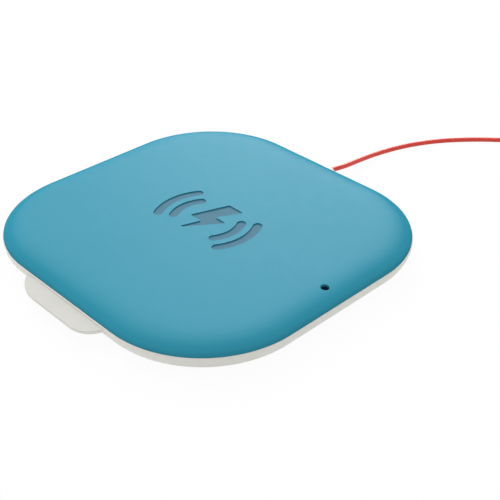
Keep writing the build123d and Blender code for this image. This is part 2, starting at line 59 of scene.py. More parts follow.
# Corners of the solids that the pieces are built round
cover_low, cover_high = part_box("top_cover")
base_low, base_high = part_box("base_shell")
grip_low, grip_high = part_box("grip_pad")
pipe_low, pipe_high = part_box("light_pipe")
plug_low, plug_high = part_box("plug_moulding")
sleeve_low, sleeve_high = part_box("plug_shell")
socket_mouth_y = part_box("socket_shell")[1].y
tie_low, tie_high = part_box("cord_tie")
power_low, power_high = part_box("power_moulding")
tip_low, tip_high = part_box("power_shell")
half_width = base_high.x
half_depth = base_high.y
seam_z = base_high.z
cover_step = base_high.x - cover_high.x

# Outline of the pad
corner_radius = 30.5 * MM
corner_steps = 28
side_steps = 14

# Steps in the rounds of smaller forms
slab_steps = 4
small_steps = 6
sleeve_steps = 10
tab_steps = 16
round_steps = 40
edge_steps = 8

# Rounded corners keep a little under half of the side they round
corner_limit = 0.999

# Edges rounded in two steps have the first at this share of the edge
edge_share = 0.3

# Faces that meet at more than this angle keep a crease
crease_angle = 32.0

# Cover: a flat middle, a crown that falls away by a power of the distance, and a rolled lower edge
flat_inset = 15.6 * MM
crown_drop = 1.79 * MM
crown_power = 4.74
crown_steps = 26
edge_inset = 1.3 * MM
widest_rise = 0.22 * MM
cover_wall = 1.5 * MM
lip_out = 1.75 * MM
lip_in = 2.75 * MM
# Power by which the rows of the crown crowd together towards its edge
crown_crowding = 0.6

# Sign in the middle of the cover: a bolt, its corners in millimetres, between two pairs of arcs
sign_depth = 0.30 * MM
sign_corner = 0.35 * MM
bolt_corners = [(4.6, 9.4), (-1.0, 9.4), (-5.0, -1.8), (-0.6, -1.8), (-3.2, -9.4), (5.2, 2.2), (1.0, 2.2)]
arc_radii = (9.8 * MM, 14.4 * MM)
arc_width = 2.7 * MM
arc_reach = 32.0
arc_steps = 24

# Hole of the status light, and the pin below it
light_place = ((pipe_low.x + pipe_high.x) / 2, (pipe_low.y + pipe_high.y) / 2)
light_radius = 1.1 * MM
light_bevel = 0.12 * MM
lens_dome = 0.25 * MM
lens_flange = 0.7 * MM
lens_gap = 0.1 * MM

# Base
base_edge_radius = 4.5 * MM
base_edge_steps = 18
seam_round = 0.18 * MM
seam_lift = 0.16 * MM
lip_gap = 0.03 * MM
base_wall = 1.6 * MM
base_floor = 1.4 * MM
base_inner_bevel = 1.6 * MM
base_inner = 7.7 * MM
fit_gap = 0.15 * MM
pocket_half = 5.85 * MM
pocket_rib = 1.0 * MM
pocket_floor_gap = 0.2 * MM
floor_rib = (1.6 * MM, 12.0 * MM, 1.4 * MM)
floor_rib_reach = 16.0 * MM
post_size = 4.0 * MM
post_height = 0.7 * MM
post_places = [(-21.0 * MM, 34.5 * MM), (21.5 * MM, 33.0 * MM), (42.0 * MM, 20.0 * MM)]
cut_past = 1.0 * MM

# Hooks on the cover's lip, which catch in the wall of the base
hook_place = 14.0 * MM
hook_width = 5.0 * MM
hook_height = 0.6 * MM
hook_reach = 0.4 * MM

# Tab that slopes down
tab_root_half = 16.5 * MM
tab_tip_half = 13.5 * MM
tab_reach = 4.65 * MM
tab_corner = 9.8 * MM
tab_slope = 17.0
tab_drop = 0.4 * MM
tab_thickness = 1.0 * MM
tab_edge = 0.3 * MM
# Upward share of a normal from which a face counts as the tab's upper side, which is painted darker as
# shade
tab_upward = 0.5

# Soft grip underneath
grip_cut = 7.0 * MM
grip_corner = 2.0 * MM
grip_edge = 0.25 * MM
grip_gap = 0.1 * MM

# Lead where it lies free, in millimetres
run_points = [
    (0.0, 50.7, 3.7),
    (0.8, 56.0, 3.1),
    (0.3, 65.0, 2.1),
    (0.1, 75.0, 0.9),
    (3.0, 86.0, 0.75),
    (8.8, 97.0, 0.75),
    (17.8, 107.5, 0.75),
    (28.5, 116.0, 1.0),
    (39.5, 120.3, 1.65),
    (45.5, 120.3, 1.65),
]
tail_points = [
    (48.5, 121.45, 3.65),
    (56.5, 121.45, 3.5),
    (63.6, 118.0, 3.0),
    (67.6, 111.6, 2.8),
    (68.6, 104.4, 3.2),
    (68.5, 97.5, 3.6),
]
cord_diameter = 1.5 * MM
cord_line_steps = 8
cord_round_steps = 6

# Wound part of the lead, which spirals in, climbs a layer and spirals out again
wound_half_turns = 6
wound_layers = 2
wound_step = 2.3 * MM
wound_layer_step = 2.0 * MM
wound_outer_radius = 12.45 * MM
wound_inner_radius = wound_outer_radius - wound_step * wound_half_turns / 2
wound_centre = (47.0 * MM, 107.85 * MM)
wound_low_z = 1.65 * MM
wound_points_per_half = 8
# A spline passes inside the points that hold it, so they lie this much further out
wound_spread = 1 / math.cos(math.pi / (2 * wound_points_per_half))

# Tie round the wound lead
tie_thickness = 0.6 * MM
tie_corner = 1.4 * MM
tie_edge = 0.15 * MM
flap_length = 6.0 * MM
flap_thickness = 0.5 * MM

# Plug in the pad
plug_corner = 1.3 * MM
plug_edge = 0.35 * MM
plug_shoulder_y = half_depth - base_edge_radius
plug_tail_root = (6.2 * MM, 2.7 * MM)
plug_tail_end = (5.2 * MM, 2.8 * MM)
groove_count = 3
groove_step = 1.1 * MM
groove_depth = 0.16 * MM
sleeve_wall = 0.25 * MM
sleeve_nose = 0.12 * MM
sleeve_nose_inner = 0.048 * MM

# Sections of a groove in a grip and of a ring of the relief, as shares of their length and of their depth
groove_profile = ((0, 0), (0.12, 1), (0.42, 1), (0.54, 0))
relief_profile = ((0, 0), (0.55, 0), (0.65, 1), (0.9, 1))

# Power plug
power_corner = 1.9 * MM
power_end_round = 0.8 * MM
relief_length = 8.0 * MM
relief_root = (7.6 * MM, 4.8 * MM)
relief_end = (3.6 * MM, 2.6 * MM)
relief_rings = 4
relief_groove = 0.45 * MM
thumb_groove_count = 5
thumb_groove_step = 1.9 * MM
thumb_groove_depth = 0.3 * MM
thumb_groove_margin = 0.8 * thumb_groove_step
tip_wall = 0.3 * MM
tip_corner = 0.55 * MM
window_size = (2.2 * MM, 2.4 * MM)
window_spacing = 5.4 * MM
window_back = 5.2 * MM

# Gloss of the cover, which fades out down its rolled edge between two heights
gloss_gone_z = 7.15 * MM
gloss_full_z = 7.93 * MM

# Moulded finishes: the stretch of a cloudy pattern that is used, and its fineness in colour and in gloss
cloud_range = (0.3, 0.7)
cloud_detail = 3.0
gloss_cloud = 0.2
gloss_spread = 0.03

# Metal finishes: tarnish in clouds, and fine lines that are stretched along Y or even all round
tarnish_range = (0.35, 0.65)
tarnish_size = 3 * MM
tarnish_shade = 0.88
scratch_depth = 0.004 * MM
scratch_strength = 0.5
scratch_gloss = (0.8, 1.35)
drawn_lines = (1.0, 0.06, 1.0)
even_lines = (1.0, 1.0, 1.0)

# Woven finish: painted shade on a thread where it dips under and painted highlight where it is raised, and
# its relief as a share of its width
thread_shade_and_highlight = (0.45, 1.35)
thread_raised = 0.6
thread_relief = 1 / 3
# A wave pattern at a scale of one has this many crests in every pi
wave_rate = 10

# Finish of the circuit board: where the copper tracks end, and how they stand out
track_range = (0.04, 0.09)
track_shade = 1.9
track_height = 0.02 * MM

# Light, with lamps as a name, a place and a size in metres, and a power in watts
sky_strength = 0.43
lamps = [
    ("top_lamp", (-0.28, 0.14, 0.90), 0.8, 3.5),
    ("side_lamp", (-0.75, -0.04, 0.58), 0.7, 2.5),
    ("back_lamp", (-0.42, 0.51, 0.36), 0.4, 2.1),
]

# Floor
floor_half = 3.0
floor_grey = 0.97
floor_roughness = 0.9
floor_white_share = 0.95


# Meshes

def loop_skin(loops, capped=True):
    """Points and faces of a skin over equal loops, with a face at each end or joined end to end."""
    count = len(loops[0])
    points = [point for loop in loops for point in loop]
    faces = []
    for row in range(len(loops) - 1 if capped else len(loops)):
        here = row * count
        there = (row + 1) % len(loops) * count
        for i in range(count):
            j = (i + 1) % count
            faces.append((here + i, here + j, there + j, there + i))
    if capped:
        faces.append(tuple(reversed(range(count))))
        faces.append(tuple(range((len(loops) - 1) * count, len(loops) * count)))
    return points, faces


def joined(shapes):
    """Several shapes as one."""
    points, faces = [], []
    for more_points, more_faces in shapes:
        start = len(points)
        points += more_points
        faces += [tuple(start + i for i in face) for face in more_faces]
    return points, faces


def new_object(name, shape):
    """Object with a mesh of points and faces, its faces turned outwards."""
    points, faces = shape
    mesh = bpy.data.meshes.new(name)
    mesh.from_pydata(points, [], faces)
    work = bmesh.new()
    work.from_mesh(mesh)
    bmesh.ops.recalc_face_normals(work, faces=work.faces)
    work.to_mesh(mesh)
    work.free()
    made = bpy.data.objects.new(name, mesh)
    scene.collection.objects.link(made)
    return made


def carve(target, shape, operation="DIFFERENCE"):
    """Cuts a shape away from a target, or adds it."""
    tool = new_object("tool", shape)
    step = target.modifiers.new("carve", "BOOLEAN")
    step.object = tool
    step.operation = operation
    step.solver = "EXACT"
    graph = bpy.context.evaluated_depsgraph_get()
    mesh = bpy.data.meshes.new_from_object(target.evaluated_get(graph))
    target.modifiers.clear()
    target.data = mesh
    bpy.data.objects.remove(tool)


def dressed(made, body, materials, nodes):
    """Shades a piece, gives it its materials, hangs it on the body it rides on, and hides the solids it
    takes the place of.
    """
    made.data.shade_smooth()
    made.data.set_sharp_from_angle(angle=math.radians(crease_angle))
    made.data.materials.clear()
    for material in materials:
        made.data.materials.append(material)
    even = made.modifiers.new("even_normals", "WEIGHTED_NORMAL")
    even.keep_sharp = True
    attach(made, body)
    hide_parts(*nodes)
    return made


def box_shape(low, high):
    """Box between two opposite corners."""
    corners = [(low[0], low[1]), (high[0], low[1]), (high[0], high[1]), (low[0], high[1])]
    return loop_skin([[(x, y, z) for x, y in corners] for z in (low[2], high[2])])


def block(place, width, depth, low, high):
    """Upright block about a place in plan, between two heights."""
    x, y = place
    return box_shape((x - width / 2, y - depth / 2, low), (x + width / 2, y + depth / 2, high))


def prism(outline, low, high):
    """Upright solid with an outline in plan."""
    return loop_skin([[(p.x, p.y, z) for p in outline] for z in (low, high)])


def rounded(corners, radii, steps):
    """Closed outline through corners in a plane, each rounded by an arc."""
    outline = []
    count = len(corners)
    for i, (corner, radius) in enumerate(zip(corners, radii)):
        here = Vector(corner)
        if radius == 0:
            outline.append(here)
            continue
        arriving = (here - Vector(corners[i - 1])).normalized()
        leaving = (Vector(corners[(i + 1) % count]) - here).normalized()
        turn = math.atan2(arriving.cross(leaving), arriving.dot(leaving))
        start = here - arriving * radius * math.tan(abs(turn) / 2)
        centre = start + Vector((-arriving.y, arriving.x)) * math.copysign(radius, turn)
        for step in range(steps + 1):
            outline.append(centre + Matrix.Rotation(turn * step / steps, 2) @ (start - centre))
    return outline


def drawn_in(outline, inset):
    """Outline moved inwards by a small distance, for one that runs anticlockwise."""
    moved = []
    count = len(outline)
    for i, here in enumerate(outline):
        arriving = (here - outline[i - 1]).normalized()
        leaving = (outline[(i + 1) % count] - here).normalized()
        along = (arriving + leaving).normalized()
        moved.append(here + Vector((-along.y, along.x)) * inset / along.dot(leaving))
    return moved


def slab(outline, low, high, edge):
    """Flat plate with an outline in plan, and rounded edges above and below."""
    loops = []
    for step in range(slab_steps + 1):
        turn = math.pi / 2 * step / slab_steps
        inset, lift = edge * (1 - math.sin(turn)), edge * (1 - math.cos(turn))
        loops.append([(p.x, p.y, low + lift) for p in drawn_in(outline, inset)])
    for step in range(slab_steps + 1):
        turn = math.pi / 2 * step / slab_steps
        inset, lift = edge * (1 - math.cos(turn)), edge * (1 - math.sin(turn))
        loops.append([(p.x, p.y, high - lift) for p in drawn_in(outline, inset)])
    return loop_skin(loops)


def lathe(profile, place):
    """Round upright form about a place, from radii and heights."""
    angles = [2 * math.pi * step / round_steps for step in range(round_steps)]
    return loop_skin([
        [(place[0] + radius * math.cos(a), place[1] + radius * math.sin(a), z) for a in angles]
        for radius, z in profile
    ])


def bar(sections, x, z, capped=True, steps=small_steps):
    """Form along Y through rounded rectangles: each a place along Y, a width, a height and a corner."""
    loops = []
    for y, width, height, corner in sections:
        u, v = width / 2, height / 2
        radius = min(corner, corner_limit * u, corner_limit * v)
        outline = rounded([(-u, -v), (u, -v), (u, v), (-u, v)], [radius] * 4, steps)
        loops.append([(x + p.x, y, z + p.y) for p in outline])
    return loop_skin(loops, capped)


def pad_loop(inset, z):
    """Outline of the pad, drawn in by inset, at a height."""
    radius = corner_radius - inset
    reach_x = half_width - corner_radius
    reach_y = half_depth - corner_radius
    centres = [(reach_x, reach_y), (-reach_x, reach_y), (-reach_x, -reach_y), (reach_x, -reach_y)]
    arcs = []
    for quarter, (x, y) in enumerate(centres):
        angles = [(quarter + step / corner_steps) * math.pi / 2 for step in range(corner_steps + 1)]
        arcs.append([Vector((x + radius * math.cos(a), y + radius * math.sin(a), z)) for a in angles])
    points = []
    for arc, following in zip(arcs, arcs[1:] + arcs[:1]):
        points += arc
        points += [arc[-1].lerp(following[0], step / side_steps) for step in range(1, side_steps)]
    return points


# Materials

def blank(name, roughness, specular=0.5, metallic=0.0):
    """New material, with its shader and the place of each point in its piece."""
    made = bpy.data.materials.new(name)
    made.use_nodes = True
    tree = made.node_tree
    shader = tree.nodes["Principled BSDF"]
    shader.inputs["Roughness"].default_value = roughness
    shader.inputs["Specular IOR Level"].default_value = specular
    shader.inputs["Metallic"].default_value = metallic
    place = tree.nodes.new("ShaderNodeTexCoord")
    return made, tree, shader, place.outputs["Object"]


def noise(tree, place, size, detail=2.0, stretch=None):
    """Cloudy pattern with patches of a size, stretched along an axis if asked."""
    if stretch:
        mapping = tree.nodes.new("ShaderNodeMapping")
        mapping.inputs["Scale"].default_value = stretch
        tree.links.new(place, mapping.inputs["Vector"])
        place = mapping.outputs["Vector"]
    made = tree.nodes.new("ShaderNodeTexNoise")
    made.inputs["Scale"].default_value = 1 / size
    made.inputs["Detail"].default_value = detail
    tree.links.new(place, made.inputs["Vector"])
    return made.outputs["Fac"]


def stripes(tree, place, axis, size):
    """Even waves along an axis, of a size from crest to crest."""
    made = tree.nodes.new("ShaderNodeTexWave")
    made.bands_direction = axis
    made.inputs["Scale"].default_value = math.pi / (wave_rate * size)
    tree.links.new(place, made.inputs["Vector"])
    return made.outputs["Fac"]


def combined(tree, operation, first, second):
    """Two patterns joined by arithmetic."""
    made = tree.nodes.new("ShaderNodeMath")
    made.operation = operation
    tree.links.new(first, made.inputs[0])
    tree.links.new(second, made.inputs[1])
    return made.outputs["Value"]


def ramp(tree, value, stops):
    """Colours or grey levels along a value."""
    made = tree.nodes.new("ShaderNodeValToRGB")
    band = made.color_ramp
    while len(band.elements) < len(stops):
        band.elements.new(0.5)
    for element, (position, colour) in zip(band.elements, stops):
        element.position = position
        element.color = (*colour, 1) if isinstance(colour, tuple) else (colour, colour, colour, 1)
    tree.links.new(value, made.inputs["Fac"])
    return made.outputs["Color"]


def relief(tree, shader, height, depth, strength=1.0):
    """Fine relief from a pattern, of a depth."""
    made = tree.nodes.new("ShaderNodeBump")
    made.inputs["Strength"].default_value = strength
    made.inputs["Distance"].default_value = depth
    tree.links.new(height, made.inputs["Height"])
    tree.links.new(made.outputs["Normal"], shader.inputs["Normal"])


def shade(colour, factor):
    """Colour made lighter or darker."""
    return tuple(min(part * factor, 1.0) for part in colour)


def moulded(name, colour, roughness, grain, depth, cloud=9 * MM, spread=0.03, specular=0.5):
    """Moulded plastic, rubber or ceramic: an even fine grain, and slight clouds in its colour and gloss."""
    made, tree, shader, place = blank(name, roughness, specular)
    low, high = cloud_range
    stops = [(low, shade(colour, 1 - spread)), (high, shade(colour, 1 + spread))]
    clouds = noise(tree, place, cloud, cloud_detail)
    tree.links.new(ramp(tree, clouds, stops), shader.inputs["Base Color"])
    levels = [(low, roughness - gloss_spread), (high, roughness + gloss_spread)]
    patches = noise(tree, place, gloss_cloud * cloud)
    tree.links.new(ramp(tree, patches, levels), shader.inputs["Roughness"])
    relief(tree, shader, noise(tree, place, grain), depth)
    return made


def matte_edge(material, low, high):
    """Takes the gloss of a material away, from one height down to a lower one."""
    tree = material.node_tree
    gloss = tree.nodes["Principled BSDF"].inputs["Specular IOR Level"]
    place = tree.nodes.new("ShaderNodeTexCoord")
    parts = tree.nodes.new("ShaderNodeSeparateXYZ")
    tree.links.new(place.outputs["Object"], parts.inputs["Vector"])
    level = tree.nodes.new("ShaderNodeMapRange")
    level.inputs["From Min"].default_value = low
    level.inputs["From Max"].default_value = high
    level.inputs["To Max"].default_value = gloss.default_value
    tree.links.new(parts.outputs["Z"], level.inputs["Value"])
    tree.links.new(level.outputs["Result"], gloss)


def metal(name, colour, roughness, stretch, scratch=0.25 * MM):
    """Plated or drawn metal, with fine lines along its length and a little tarnish."""
    made, tree, shader, place = blank(name, roughness, metallic=1.0)
    stops = list(zip(tarnish_range, (shade(colour, tarnish_shade), colour)))
    clouds = noise(tree, place, tarnish_size, cloud_detail)
    tree.links.new(ramp(tree, clouds, stops), shader.inputs["Base Color"])
    lines = noise(tree, place, scratch, stretch=stretch)
    levels = [(position, roughness * factor) for position, factor in zip(cloud_range, scratch_gloss)]
    tree.links.new(ramp(tree, lines, levels), shader.inputs["Roughness"])
    relief(tree, shader, lines, scratch_depth, scratch_strength)
    return made


def woven(name, colour, thread):
    """Plain weave of threads that go over and under each other, with painted shade where a thread dips and
    painted highlight where it rises.
    """
    made, tree, shader, place = blank(name, roughness=0.85, specular=0.3)
    across = stripes(tree, place, "DIAGONAL", thread)
    along = stripes(tree, place, "Y", thread)
    weave = combined(tree, "MULTIPLY", across, along)
    # Painted shade where a thread dips under, painted highlight where it is raised
    dipped, raised = thread_shade_and_highlight
    stops = [(0.0, shade(colour, dipped)), (thread_raised, shade(colour, raised))]
    tree.links.new(ramp(tree, weave, stops), shader.inputs["Base Color"])
    relief(tree, shader, weave, thread_relief * thread)
    return made


def lacquered_board(name, colour, track):
    """Green lacquer over copper tracks that show as slightly raised and lighter lines."""
    made, tree, shader, place = blank(name, roughness=0.3)
    cells = tree.nodes.new("ShaderNodeTexVoronoi")
    cells.distance = "MANHATTAN"
    cells.feature = "DISTANCE_TO_EDGE"
    cells.inputs["Scale"].default_value = 1 / track
    tree.links.new(place, cells.inputs["Vector"])
    edges = cells.outputs["Distance"]
    inner, outer = track_range
    stops = [(inner, shade(colour, track_shade)), (outer, colour)]
    tree.links.new(ramp(tree, edges, stops), shader.inputs["Base Color"])
    relief(tree, shader, ramp(tree, edges, [(inner, 1.0), (outer, 0.0)]), track_height)
    return made


# Colours

cover_blue = (0.038, 0.305, 0.428)
sign_blue = (0.055, 0.185, 0.270)
ivory = (0.930, 0.925, 0.860)
# The tab's upper side: the same ivory, darkened as painted shade
tab_ivory_painted_shade = shade(ivory, 0.78)
cord_red = (0.800, 0.042, 0.022)
# Smoked lens of the light, darkened nearly to black as painted shade down its hole
lens_smoke = (0.002, 0.012, 0.022)
rubber_black = (0.035, 0.035, 0.037)
tie_black = (0.030, 0.030, 0.032)
chip_black = (0.020, 0.020, 0.022)
tape_amber = (0.72, 0.55, 0.28)
ferrite_grey = (0.045, 0.045, 0.050)
choke_grey = (0.10, 0.10, 0.11)
board_green = (0.020, 0.140, 0.060)
capacitor_tan = (0.48, 0.33, 0.20)
led_white = (0.85, 0.83, 0.70)
insert_white = (0.78, 0.78, 0.76)
steel = (0.66, 0.66, 0.67)
copper = (0.72, 0.30, 0.14)
gold = (0.80, 0.58, 0.22)


# Finishes of the pieces

cover_material = moulded(
    "cover_matte", cover_blue, roughness=0.46, grain=0.16 * MM, depth=0.002 * MM,
    cloud=14 * MM, spread=0.012, specular=0.13,
)
matte_edge(cover_material, gloss_gone_z, gloss_full_z)
sign_material = moulded(
    "sign_matte", sign_blue, roughness=0.5, grain=0.16 * MM, depth=0.002 * MM,
    cloud=14 * MM, spread=0.012, specular=0.12,
)
ivory_material = moulded(
    "ivory_satin", ivory, roughness=0.42, grain=0.2 * MM, depth=0.003 * MM, spread=0.015,
)
# Coarser, rougher ivory of the tab's upper side, its colour darkened as painted shade
tab_painted_shade_material = moulded(
    "ivory_coarse_painted_shade", tab_ivory_painted_shade, roughness=0.6, grain=0.3 * MM, depth=0.012 * MM, spread=0.02,
)
plug_material = moulded(
    "plug_satin", ivory, roughness=0.46, grain=0.2 * MM, depth=0.005 * MM, spread=0.015,
)
cord_material = moulded(
    "cord_jacket", cord_red, roughness=0.12, grain=0.5 * MM, depth=0.001 * MM,
    cloud=6 * MM, spread=0.02, specular=0.45,
)
rubber_material = moulded(
    "grip_rubber", rubber_black, roughness=0.72, grain=0.35 * MM, depth=0.03 * MM,
)
# Without gloss, so that the lens reads as painted shade at the bottom of the hole
lens_material = moulded(
    "lens_smoke", lens_smoke, roughness=0.8, grain=0.8 * MM, depth=0.002 * MM, specular=0.0,
)
steel_material = metal("plated_steel", steel, roughness=0.24, stretch=drawn_lines)
tie_material = woven("tie_weave", tie_black, thread=0.5 * MM)


# Camera

def add_camera():
    """Camera at the viewing angle of the photograph."""
    data = bpy.data.cameras.new("camera")
    data.lens = camera_lens
    data.sensor_width = camera_sensor
    data.clip_start = camera_near
    made = bpy.data.objects.new("camera", data)
    made.location = camera_place
    made.rotation_euler = (math.radians(90 - camera_pitch), 0, math.radians(camera_azimuth))
    scene.collection.objects.link(made)
    scene.camera = made


# Lead

def wound_stations():
    """Radius and height of the wound cord at each half turn: in, up a layer, and out again."""
    stations = []
    for layer in range(wound_layers):
        for half_turn in range(wound_half_turns + 1):
            drawn = wound_step * half_turn / 2
            radius = wound_inner_radius + drawn if layer % 2 else wound_outer_radius - drawn
            stations.append((radius, wound_low_z + layer * wound_layer_step))
    stations.append((wound_outer_radius + wound_step / 2, stations[-1][1]))
    return stations


def wound_route():
    """Points that hold the wound cord, clockwise from its far side, without its two ends."""
    stations = wound_stations()
    points = []
    side = 1
    for (near, low), (far, high) in zip(stations, stations[1:]):
        reach = (near + far) / 2
        for step in range(wound_points_per_half):
            share = step / wound_points_per_half
            turn = math.pi * share
            across = side * reach * math.sin(turn) * wound_spread
            along = side * ((near - far) / 2 + reach * math.cos(turn)) * wound_spread
            climb = share * share * (3 - 2 * share)
            points.append((wound_centre[0] + across, wound_centre[1] + along, low + (high - low) * climb))
        side = -side
    return points[1:]


def lead_cord():
    """Round cord on one smooth line from the plug, through its windings, to the power plug."""
    route = [tuple(part * MM for part in point) for point in run_points]
    route += wound_route()
    route += [tuple(part * MM for part in point) for point in tail_points]
    data = bpy.data.curves.new("lead_cord", "CURVE")
    data.dimensions = "3D"
    data.resolution_u = cord_line_steps
    data.bevel_depth = cord_diameter / 2
    data.bevel_resolution = cord_round_steps
    data.use_fill_caps = True
    spline = data.splines.new("NURBS")
    spline.points.add(len(route) - 1)
    for point, place in zip(spline.points, route):
        point.co = (*place, 1)
    spline.order_u = 3
    spline.use_endpoint_u = True
    data.materials.append(cord_material)
    made = bpy.data.objects.new("lead_cord", data)
    scene.collection.objects.link(made)
    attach(made, "charge_lead")
    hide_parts("cord_run", "cord_coil", "cord_tail")
    return made


def cord_tie():
    """Woven strap round the wound cord, with its loose end laid back over the top."""
    middle_x = (tie_low.x + tie_high.x) / 2
    middle_z = (tie_low.z + tie_high.z) / 2
    width, height = tie_high.x - tie_low.x, tie_high.z - tie_low.z
    low, high = tie_low.y, tie_high.y

    def ring(y, inset):
        return y, width - 2 * inset, height - 2 * inset, tie_corner - inset

    inner, edge = tie_thickness, tie_edge
    strap = bar([
        ring(low + edge, 0), ring(high - edge, 0), ring(high, edge), ring(high, inner - edge),
        ring(high - edge, inner), ring(low + edge, inner), ring(low, inner - edge), ring(low, edge),
    ], middle_x, middle_z, capped=False)
    left, right = middle_x - flap_length / 2, middle_x + flap_length / 2
    corners = [(left, low), (right, low), (right, high), (left, high)]
    outline = rounded(corners, [tie_edge, tie_corner, tie_corner, tie_edge], small_steps)
    flap = slab(outline, tie_high.z, tie_high.z + flap_thickness, tie_edge)
    made = new_object("lead_tie", joined([strap, flap]))
    return dressed(made, "charge_lead", [tie_material], ["cord_tie"])


# Shells of the pad

def side_blocks(near, far, width, low, high):
    """Blocks along the sides, two on each, between two distances in from the outline and two heights."""
    blocks = []
    for side in (-1, 1):
        for place in (-hook_place, hook_place):
            across = sorted((side * (half_width - near), side * (half_width - far)))
            along = sorted((side * (half_depth - near), side * (half_depth - far)))
            left, right = place - width / 2, place + width / 2
            blocks.append(box_shape((across[0], left, low), (across[1], right, high)))
            blocks.append(box_shape((left, along[0], low), (right, along[1], high)))
    return joined(blocks)


def crown_height(inset):
    """Height of the cover's upper face at a distance in from its edge."""
    return cover_high.z - crown_drop * max(1 - inset / flat_inset, 0) ** crown_power


def cover_section():
    """Section of the cover as distances in and heights, from the flat middle round to the ceiling."""
    section = []
    for step in range(crown_steps + 1):
        inset = flat_inset + (edge_inset - flat_inset) * (step / crown_steps) ** crown_crowding
        section.append((inset, crown_height(inset)))
    edge_top = section[-1][1]
    slope = crown_drop * crown_power / flat_inset * (1 - edge_inset / flat_inset) ** (crown_power - 1)
    widest_z = seam_z + widest_rise
    knee_z = edge_top - slope * edge_inset
    for step in range(1, edge_steps + 1):
        share = step / edge_steps
        rest = 1 - share
        height = edge_top * rest**2 + 2 * knee_z * share * rest + widest_z * share**2
        section.append((edge_inset * rest**2, height))
    for step in range(1, edge_steps + 1):
        turn = math.pi / 2 * step / edge_steps
        section.append((widest_rise * (1 - math.cos(turn)), widest_z - widest_rise * math.sin(turn)))
    section = [(cover_step + inset, z) for inset, z in section]
    ceiling = cover_high.z - cover_wall
    section += [(lip_out, seam_z), (lip_out, cover_low.z), (lip_in, cover_low.z)]
    section += [(lip_in, ceiling), (flat_inset, ceiling)]
    return section


def arc_outline(radius, facing):
    """Stretch of a ring with rounded ends, about the middle of the pad, facing +X or -X."""
    outline = []
    for rim, way in ((radius + arc_width / 2, 1), (radius - arc_width / 2, -1)):
        for step in range(arc_steps + 1):
            turn = math.radians(arc_reach) * way * (2 * step / arc_steps - 1)
            outline.append(Vector((facing * rim * math.cos(turn), facing * rim * math.sin(turn))))
        end = math.radians(arc_reach) * way
        heading = Vector((facing * radius * math.cos(end), facing * radius * math.sin(end)))
        spoke = outline[-1] - heading
        for step in range(1, edge_steps):
            outline.append(heading + Matrix.Rotation(math.pi * step / edge_steps, 2) @ spoke)
    return outline


def sign_shape(low, high):
    """Solid that cuts the sign: a plain bolt between two pairs of arcs."""
    corners = [(x * MM, y * MM) for x, y in bolt_corners]
    outlines = [rounded(corners, [sign_corner] * len(corners), edge_steps)]
    for radius in arc_radii:
        outlines += [arc_outline(radius, facing) for facing in (1, -1)]
    return joined([prism(outline, low, high) for outline in outlines])


def top_cover():
    """Cover with a flat middle, an edge that rolls over to the seam, a sunk sign and the light's hole."""
    made = new_object("cover_moulding", loop_skin([pad_loop(inset, z) for inset, z in cover_section()]))
    hooks = side_blocks(lip_out - hook_reach, lip_in, hook_width, cover_low.z, cover_low.z + hook_height)
    carve(made, hooks, "UNION")
    notch_half = pocket_half + pocket_rib + fit_gap
    notch_low = (-notch_half, half_depth - lip_in - fit_gap, cover_low.z - cut_past)
    notch_high = (notch_half, half_depth - base_wall, cover_high.z - cover_wall)
    carve(made, box_shape(notch_low, notch_high))
    rim_z = crown_height(cover_high.x - light_place[0])
    wide = light_radius + light_bevel
    hole = [(light_radius, seam_z), (light_radius, rim_z - light_bevel)]
    hole += [(wide, rim_z), (wide, rim_z + cut_past)]
    carve(made, lathe(hole, light_place))
    floor = cover_high.z - sign_depth
    carve(made, sign_shape(floor, cover_high.z + cut_past))
    dressed(made, "pad", [cover_material, sign_material], ["top_cover"])
    sign_reach = arc_radii[-1] + arc_width
    same_level = 0.1 * sign_depth
    for face in made.data.polygons:
        sunk = abs(face.center.z - floor) < same_level and face.center.xy.length < sign_reach
        face.material_index = 1 if sunk else 0
    return made


def base_section():
    """Section of the base as distances in and heights, from underneath round to the floor inside."""
    section = [(base_inner, base_low.z)]
    for step in range(base_edge_steps + 1):
        turn = math.pi / 2 * step / base_edge_steps
        inset, lift = base_edge_radius * (1 - math.sin(turn)), base_edge_radius * (1 - math.cos(turn))
        section.append((inset, base_low.z + lift))
    lip_top = seam_z + seam_lift
    lip_width = cover_step - lip_gap
    for step in range(edge_steps + 1):
        turn = math.pi / 2 * step / edge_steps
        section.append((seam_round * (1 - math.cos(turn)), lip_top - seam_round * (1 - math.sin(turn))))
    floor = base_low.z + base_floor
    section += [(lip_width, lip_top), (lip_width, seam_z)]
    section += [(base_wall, seam_z), (base_wall, floor + base_inner_bevel)]
    section += [(base_wall + base_inner_bevel, floor), (base_inner, floor)]
    return section


def tab_shape():
    """Tongue with slanted ends and rounded corners that slopes down, its root in the wall of the base."""
    root_y = base_wall / 2
    corners = [
        (tab_root_half, root_y), (-tab_root_half, root_y), (-tab_root_half, 0),
        (-tab_tip_half, -tab_reach), (tab_tip_half, -tab_reach), (tab_root_half, 0),
    ]
    outline = rounded(corners, [0, 0, 0, tab_corner, tab_corner, 0], tab_steps)
    points, faces = slab(outline, -tab_thickness, 0, tab_edge)
    slope = Matrix.Rotation(math.radians(tab_slope), 3, "X")
    root = Vector((0, -half_depth, seam_z - tab_drop))
    return [root + slope @ Vector(point) for point in points], faces


def grip_outline(gap):
    """Plan of the soft grip: a square with its corners cut off, with a gap all round."""
    x, y = grip_high.x + gap, grip_high.y + gap
    cut_x, cut_y = x - grip_cut, y - grip_cut
    corners = [
        (cut_x, -y), (x, -cut_y), (x, cut_y), (cut_x, y),
        (-cut_x, y), (-x, cut_y), (-x, -cut_y), (-cut_x, -y),
    ]
    return rounded(corners, [grip_corner] * len(corners), small_steps)


